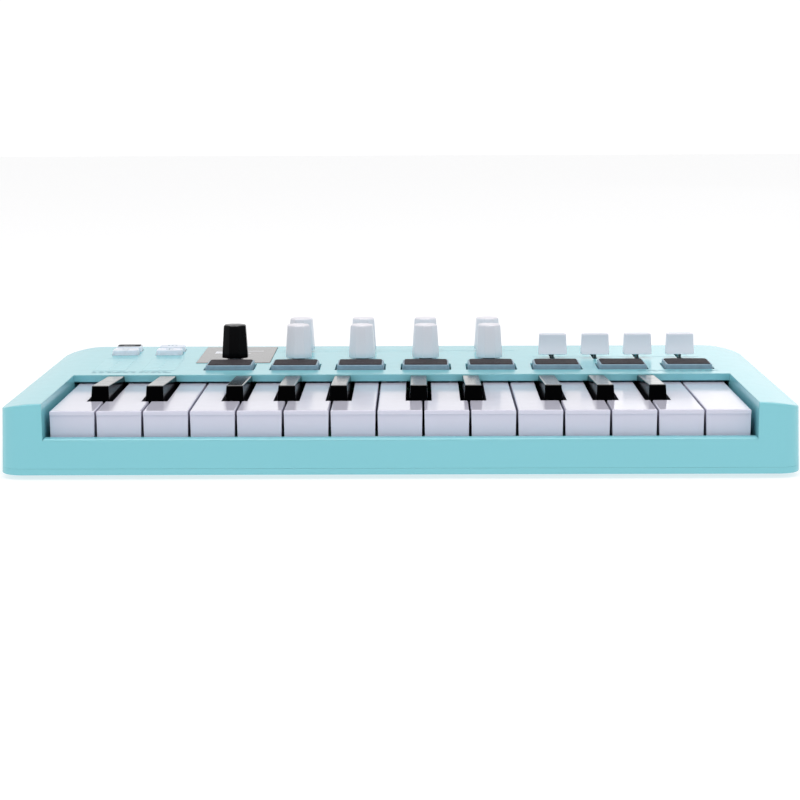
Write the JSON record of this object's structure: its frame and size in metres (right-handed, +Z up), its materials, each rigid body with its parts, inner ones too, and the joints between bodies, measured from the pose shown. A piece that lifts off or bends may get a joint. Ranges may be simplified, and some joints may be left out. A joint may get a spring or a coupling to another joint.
{
  "type": "midi keyboard",
  "caption": "Compact desktop keyboard controller with slim piano keys, drum pads, endless encoders, faders, a display plate, touch strips and rear sockets.",
  "frame": {"origin": "middle of the footprint, on the surface that the rubber feet stand on", "axes": "+X to the player's right along the row of keys, +Y away from the player, +Z up"},
  "size_m": [0.358, 0.22, 0.0524],
  "materials": {
    "case_blue": "satin pale turquoise moulding",
    "case_under": "fine textured pale turquoise moulding",
    "key_white": "glossy white moulding",
    "key_black": "glossy black moulding",
    "knob_white": "satin white moulding",
    "knob_black": "satin black moulding",
    "cap_white": "satin pale grey moulding",
    "pad_rubber": "dark rubber top on a translucent lit base",
    "button_rubber": "pale silicone rubber",
    "plate_gloss": "polished smoked plastic",
    "strip_touch": "smooth touch surface",
    "frame_grey": "dark engineering plastic",
    "board_green": "solder mask with soldered parts",
    "socket_black": "black sockets with metal contacts",
    "shaft_steel": "turned steel",
    "screw_steel": "black-zinc screws",
    "foot_rubber": "matt rubber"
  },
  "bodies": {
    "case": {"top_case": "case_blue", "bottom_case": "case_under", "key_frame": "frame_grey", "control_plate": "plate_gloss", "touch_strips": "strip_touch", "circuit_boards": "board_green", "rear_sockets": "socket_black", "rubber_feet": "foot_rubber", "case_screws": "screw_steel"},
    "white_key_01": {"white_key_01": "key_white"},
    "black_key_01": {"black_key_01": "key_black"},
    "white_key_02": {"white_key_02": "key_white"},
    "black_key_02": {"black_key_02": "key_black"},
    "white_key_03": {"white_key_03": "key_white"},
    "white_key_04": {"white_key_04": "key_white"},
    "black_key_03": {"black_key_03": "key_black"},
    "white_key_05": {"white_key_05": "key_white"},
    "black_key_04": {"black_key_04": "key_black"},
    "white_key_06": {"white_key_06": "key_white"},
    "black_key_05": {"black_key_05": "key_black"},
    "white_key_07": {"white_key_07": "key_white"},
    "white_key_08": {"white_key_08": "key_white"},
    "black_key_06": {"black_key_06": "key_black"},
    "white_key_09": {"white_key_09": "key_white"},
    "black_key_07": {"black_key_07": "key_black"},
    "white_key_10": {"white_key_10": "key_white"},
    "white_key_11": {"white_key_11": "key_white"},
    "black_key_08": {"black_key_08": "key_black"},
    "white_key_12": {"white_key_12": "key_white"},
    "black_key_09": {"black_key_09": "key_black"},
    "white_key_13": {"white_key_13": "key_white"},
    "black_key_10": {"black_key_10": "key_black"},
    "white_key_14": {"white_key_14": "key_white"},
    "white_key_15": {"white_key_15": "key_white"},
    "pad_1": {"pad_1": "pad_rubber"},
    "pad_2": {"pad_2": "pad_rubber"},
    "pad_3": {"pad_3": "pad_rubber"},
    "pad_4": {"pad_4": "pad_rubber"},
    "pad_5": {"pad_5": "pad_rubber"},
    "pad_6": {"pad_6": "pad_rubber"},
    "pad_7": {"pad_7": "pad_rubber"},
    "pad_8": {"pad_8": "pad_rubber"},
    "button_1": {"button_1": "button_rubber"},
    "button_2": {"button_2": "button_rubber"},
    "button_3": {"button_3": "button_rubber"},
    "button_4": {"button_4": "button_rubber"},
    "main_encoder_shaft": {"main_encoder_shaft": "shaft_steel"},
    "main_knob": {"main_knob": "knob_black"},
    "knob_1": {"knob_1": "knob_white"},
    "knob_2": {"knob_2": "knob_white"},
    "knob_3": {"knob_3": "knob_white"},
    "knob_4": {"knob_4": "knob_white"},
    "knob_5": {"knob_5": "knob_white"},
    "knob_6": {"knob_6": "knob_white"},
    "knob_7": {"knob_7": "knob_white"},
    "knob_8": {"knob_8": "knob_white"},
    "fader_cap_1": {"fader_cap_1": "cap_white"},
    "fader_cap_2": {"fader_cap_2": "cap_white"},
    "fader_cap_3": {"fader_cap_3": "cap_white"},
    "fader_cap_4": {"fader_cap_4": "cap_white"}
  },
  "joints": [
    {"name": "white_key_01_press", "type": "hinge", "parent": "case", "child": "white_key_01", "pos_m": [-0.1512, 0.016, 0.019], "axis": [1, 0, 0], "range_deg": [0, 4], "stiffness_Nm_per_rad": 0.5, "springref_deg": -8.02},
    {"name": "black_key_01_press", "type": "hinge", "parent": "case", "child": "black_key_01", "pos_m": [-0.1386, 0.016, 0.019], "axis": [1, 0, 0], "range_deg": [0, 4], "stiffness_Nm_per_rad": 0.5, "springref_deg": -8.02},
    {"name": "white_key_02_press", "type": "hinge", "parent": "case", "child": "white_key_02", "pos_m": [-0.126, 0.016, 0.019], "axis": [1, 0, 0], "range_deg": [0, 4], "stiffness_Nm_per_rad": 0.5, "springref_deg": -8.02},
    {"name": "black_key_02_press", "type": "hinge", "parent": "case", "child": "black_key_02", "pos_m": [-0.1134, 0.016, 0.019], "axis": [1, 0, 0], "range_deg": [0, 4], "stiffness_Nm_per_rad": 0.5, "springref_deg": -8.02},
    {"name": "white_key_03_press", "type": "hinge", "parent": "case", "child": "white_key_03", "pos_m": [-0.1008, 0.016, 0.019], "axis": [1, 0, 0], "range_deg": [0, 4], "stiffness_Nm_per_rad": 0.5, "springref_deg": -8.02},
    {"name": "white_key_04_press", "type": "hinge", "parent": "case", "child": "white_key_04", "pos_m": [-0.0885, 0.016, 0.019], "axis": [1, 0, 0], "range_deg": [0, 4], "stiffness_Nm_per_rad": 0.5, "springref_deg": -8.02},
    {"name": "black_key_03_press", "type": "hinge", "parent": "case", "child": "black_key_03", "pos_m": [-0.0765, 0.016, 0.019], "axis": [1, 0, 0], "range_deg": [0, 4], "stiffness_Nm_per_rad": 0.5, "springref_deg": -8.02},
    {"name": "white_key_05_press", "type": "hinge", "parent": "case", "child": "white_key_05", "pos_m": [-0.0645, 0.016, 0.019], "axis": [1, 0, 0], "range_deg": [0, 4], "stiffness_Nm_per_rad": 0.5, "springref_deg": -8.02},
    {"name": "black_key_04_press", "type": "hinge", "parent": "case", "child": "black_key_04", "pos_m": [-0.0525, 0.016, 0.019], "axis": [1, 0, 0], "range_deg": [0, 4], "stiffness_Nm_per_rad": 0.5, "springref_deg": -8.02},
    {"name": "white_key_06_press", "type": "hinge", "parent": "case", "child": "white_key_06", "pos_m": [-0.0405, 0.016, 0.019], "axis": [1, 0, 0], "range_deg": [0, 4], "stiffness_Nm_per_rad": 0.5, "springref_deg": -8.02},
    {"name": "black_key_05_press", "type": "hinge", "parent": "case", "child": "black_key_05", "pos_m": [-0.0285, 0.016, 0.019], "axis": [1, 0, 0], "range_deg": [0, 4], "stiffness_Nm_per_rad": 0.5, "springref_deg": -8.02},
    {"name": "white_key_07_press", "type": "hinge", "parent": "case", "child": "white_key_07", "pos_m": [-0.0165, 0.016, 0.019], "axis": [1, 0, 0], "range_deg": [0, 4], "stiffness_Nm_per_rad": 0.5, "springref_deg": -8.02},
    {"name": "white_key_08_press", "type": "hinge", "parent": "case", "child": "white_key_08", "pos_m": [-0.0042, 0.016, 0.019], "axis": [1, 0, 0], "range_deg": [0, 4], "stiffness_Nm_per_rad": 0.5, "springref_deg": -8.02},
    {"name": "black_key_06_press", "type": "hinge", "parent": "case", "child": "black_key_06", "pos_m": [0.0084, 0.016, 0.019], "axis": [1, 0, 0], "range_deg": [0, 4], "stiffness_Nm_per_rad": 0.5, "springref_deg": -8.02},
    {"name": "white_key_09_press", "type": "hinge", "parent": "case", "child": "white_key_09", "pos_m": [0.021, 0.016, 0.019], "axis": [1, 0, 0], "range_deg": [0, 4], "stiffness_Nm_per_rad": 0.5, "springref_deg": -8.02},
    {"name": "black_key_07_press", "type": "hinge", "parent": "case", "child": "black_key_07", "pos_m": [0.0336, 0.016, 0.019], "axis": [1, 0, 0], "range_deg": [0, 4], "stiffness_Nm_per_rad": 0.5, "springref_deg": -8.02},
    {"name": "white_key_10_press", "type": "hinge", "parent": "case", "child": "white_key_10", "pos_m": [0.0462, 0.016, 0.019], "axis": [1, 0, 0], "range_deg": [0, 4], "stiffness_Nm_per_rad": 0.5, "springref_deg": -8.02},
    {"name": "white_key_11_press", "type": "hinge", "parent": "case", "child": "white_key_11", "pos_m": [0.0585, 0.016, 0.019], "axis": [1, 0, 0], "range_deg": [0, 4], "stiffness_Nm_per_rad": 0.5, "springref_deg": -8.02},
    {"name": "black_key_08_press", "type": "hinge", "parent": "case", "child": "black_key_08", "pos_m": [0.0705, 0.016, 0.019], "axis": [1, 0, 0], "range_deg": [0, 4], "stiffness_Nm_per_rad": 0.5, "springref_deg": -8.02},
    {"name": "white_key_12_press", "type": "hinge", "parent": "case", "child": "white_key_12", "pos_m": [0.0825, 0.016, 0.019], "axis": [1, 0, 0], "range_deg": [0, 4], "stiffness_Nm_per_rad": 0.5, "springref_deg": -8.02},
    {"name": "black_key_09_press", "type": "hinge", "parent": "case", "child": "black_key_09", "pos_m": [0.0945, 0.016, 0.019], "axis": [1, 0, 0], "range_deg": [0, 4], "stiffness_Nm_per_rad": 0.5, "springref_deg": -8.02},
    {"name": "white_key_13_press", "type": "hinge", "parent": "case", "child": "white_key_13", "pos_m": [0.1065, 0.016, 0.019], "axis": [1, 0, 0], "range_deg": [0, 4], "stiffness_Nm_per_rad": 0.5, "springref_deg": -8.02},
    {"name": "black_key_10_press", "type": "hinge", "parent": "case", "child": "black_key_10", "pos_m": [0.1185, 0.016, 0.019], "axis": [1, 0, 0], "range_deg": [0, 4], "stiffness_Nm_per_rad": 0.5, "springref_deg": -8.02},
    {"name": "white_key_14_press", "type": "hinge", "parent": "case", "child": "white_key_14", "pos_m": [0.1305, 0.016, 0.019], "axis": [1, 0, 0], "range_deg": [0, 4], "stiffness_Nm_per_rad": 0.5, "springref_deg": -8.02},
    {"name": "white_key_15_press", "type": "hinge", "parent": "case", "child": "white_key_15", "pos_m": [0.1428, 0.016, 0.019], "axis": [1, 0, 0], "range_deg": [0, 4], "stiffness_Nm_per_rad": 0.5, "springref_deg": -8.02},
    {"name": "pad_1_press", "type": "slide", "parent": "case", "child": "pad_1", "axis": [0, 0, -1], "range_m": [0, 0.0008], "stiffness_N_per_m": 3000, "springref_m": -0.0004},
    {"name": "pad_2_press", "type": "slide", "parent": "case", "child": "pad_2", "axis": [0, 0, -1], "range_m": [0, 0.0008], "stiffness_N_per_m": 3000, "springref_m": -0.0004},
    {"name": "pad_3_press", "type": "slide", "parent": "case", "child": "pad_3", "axis": [0, 0, -1], "range_m": [0, 0.0008], "stiffness_N_per_m": 3000, "springref_m": -0.0004},
    {"name": "pad_4_press", "type": "slide", "parent": "case", "child": "pad_4", "axis": [0, 0, -1], "range_m": [0, 0.0008], "stiffness_N_per_m": 3000, "springref_m": -0.0004},
    {"name": "pad_5_press", "type": "slide", "parent": "case", "child": "pad_5", "axis": [0, 0, -1], "range_m": [0, 0.0008], "stiffness_N_per_m": 3000, "springref_m": -0.0004},
    {"name": "pad_6_press", "type": "slide", "parent": "case", "child": "pad_6", "axis": [0, 0, -1], "range_m": [0, 0.0008], "stiffness_N_per_m": 3000, "springref_m": -0.0004},
    {"name": "pad_7_press", "type": "slide", "parent": "case", "child": "pad_7", "axis": [0, 0, -1], "range_m": [0, 0.0008], "stiffness_N_per_m": 3000, "springref_m": -0.0004},
    {"name": "pad_8_press", "type": "slide", "parent": "case", "child": "pad_8", "axis": [0, 0, -1], "range_m": [0, 0.0008], "stiffness_N_per_m": 3000, "springref_m": -0.0004},
    {"name": "button_1_press", "type": "slide", "parent": "case", "child": "button_1", "axis": [0, 0, -1], "range_m": [0, 0.0006], "stiffness_N_per_m": 1500, "springref_m": -0.0004},
    {"name": "button_2_press", "type": "slide", "parent": "case", "child": "button_2", "axis": [0, 0, -1], "range_m": [0, 0.0006], "stiffness_N_per_m": 1500, "springref_m": -0.0004},
    {"name": "button_3_press", "type": "slide", "parent": "case", "child": "button_3", "axis": [0, 0, -1], "range_m": [0, 0.0006], "stiffness_N_per_m": 1500, "springref_m": -0.0004},
    {"name": "button_4_press", "type": "slide", "parent": "case", "child": "button_4", "axis": [0, 0, -1], "range_m": [0, 0.0006], "stiffness_N_per_m": 1500, "springref_m": -0.0004},
    {"name": "main_encoder_press", "type": "slide", "parent": "case", "child": "main_encoder_shaft", "axis": [0, 0, -1], "range_m": [0, 0.0005], "stiffness_N_per_m": 2000, "springref_m": -0.0005},
    {"name": "main_knob_turn", "type": "hinge", "parent": "main_encoder_shaft", "child": "main_knob", "pos_m": [-0.0855, 0.0518, 0.05], "axis": [0, 0, 1], "continuous": true},
    {"name": "knob_1_turn", "type": "hinge", "parent": "case", "child": "knob_1", "pos_m": [-0.053, 0.0518, 0.05], "axis": [0, 0, 1], "continuous": true},
    {"name": "knob_2_turn", "type": "hinge", "parent": "case", "child": "knob_2", "pos_m": [-0.0205, 0.0518, 0.05], "axis": [0, 0, 1], "continuous": true},
    {"name": "knob_3_turn", "type": "hinge", "parent": "case", "child": "knob_3", "pos_m": [0.012, 0.0518, 0.05], "axis": [0, 0, 1], "continuous": true},
    {"name": "knob_4_turn", "type": "hinge", "parent": "case", "child": "knob_4", "pos_m": [0.0445, 0.0518, 0.05], "axis": [0, 0, 1], "continuous": true},
    {"name": "knob_5_turn", "type": "hinge", "parent": "case", "child": "knob_5", "pos_m": [-0.053, 0.0843, 0.05], "axis": [0, 0, 1], "continuous": true},
    {"name": "knob_6_turn", "type": "hinge", "parent": "case", "child": "knob_6", "pos_m": [-0.0205, 0.0843, 0.05], "axis": [0, 0, 1], "continuous": true},
    {"name": "knob_7_turn", "type": "hinge", "parent": "case", "child": "knob_7", "pos_m": [0.012, 0.0843, 0.05], "axis": [0, 0, 1], "continuous": true},
    {"name": "knob_8_turn", "type": "hinge", "parent": "case", "child": "knob_8", "pos_m": [0.0445, 0.0843, 0.05], "axis": [0, 0, 1], "continuous": true},
    {"name": "fader_1_slide", "type": "slide", "parent": "case", "child": "fader_cap_1", "axis": [0, 1, 0], "range_m": [0, 0.03]},
    {"name": "fader_2_slide", "type": "slide", "parent": "case", "child": "fader_cap_2", "axis": [0, 1, 0], "range_m": [0, 0.03]},
    {"name": "fader_3_slide", "type": "slide", "parent": "case", "child": "fader_cap_3", "axis": [0, 1, 0], "range_m": [0, 0.03]},
    {"name": "fader_4_slide", "type": "slide", "parent": "case", "child": "fader_cap_4", "axis": [0, 1, 0], "range_m": [0, 0.03]}
  ]
}
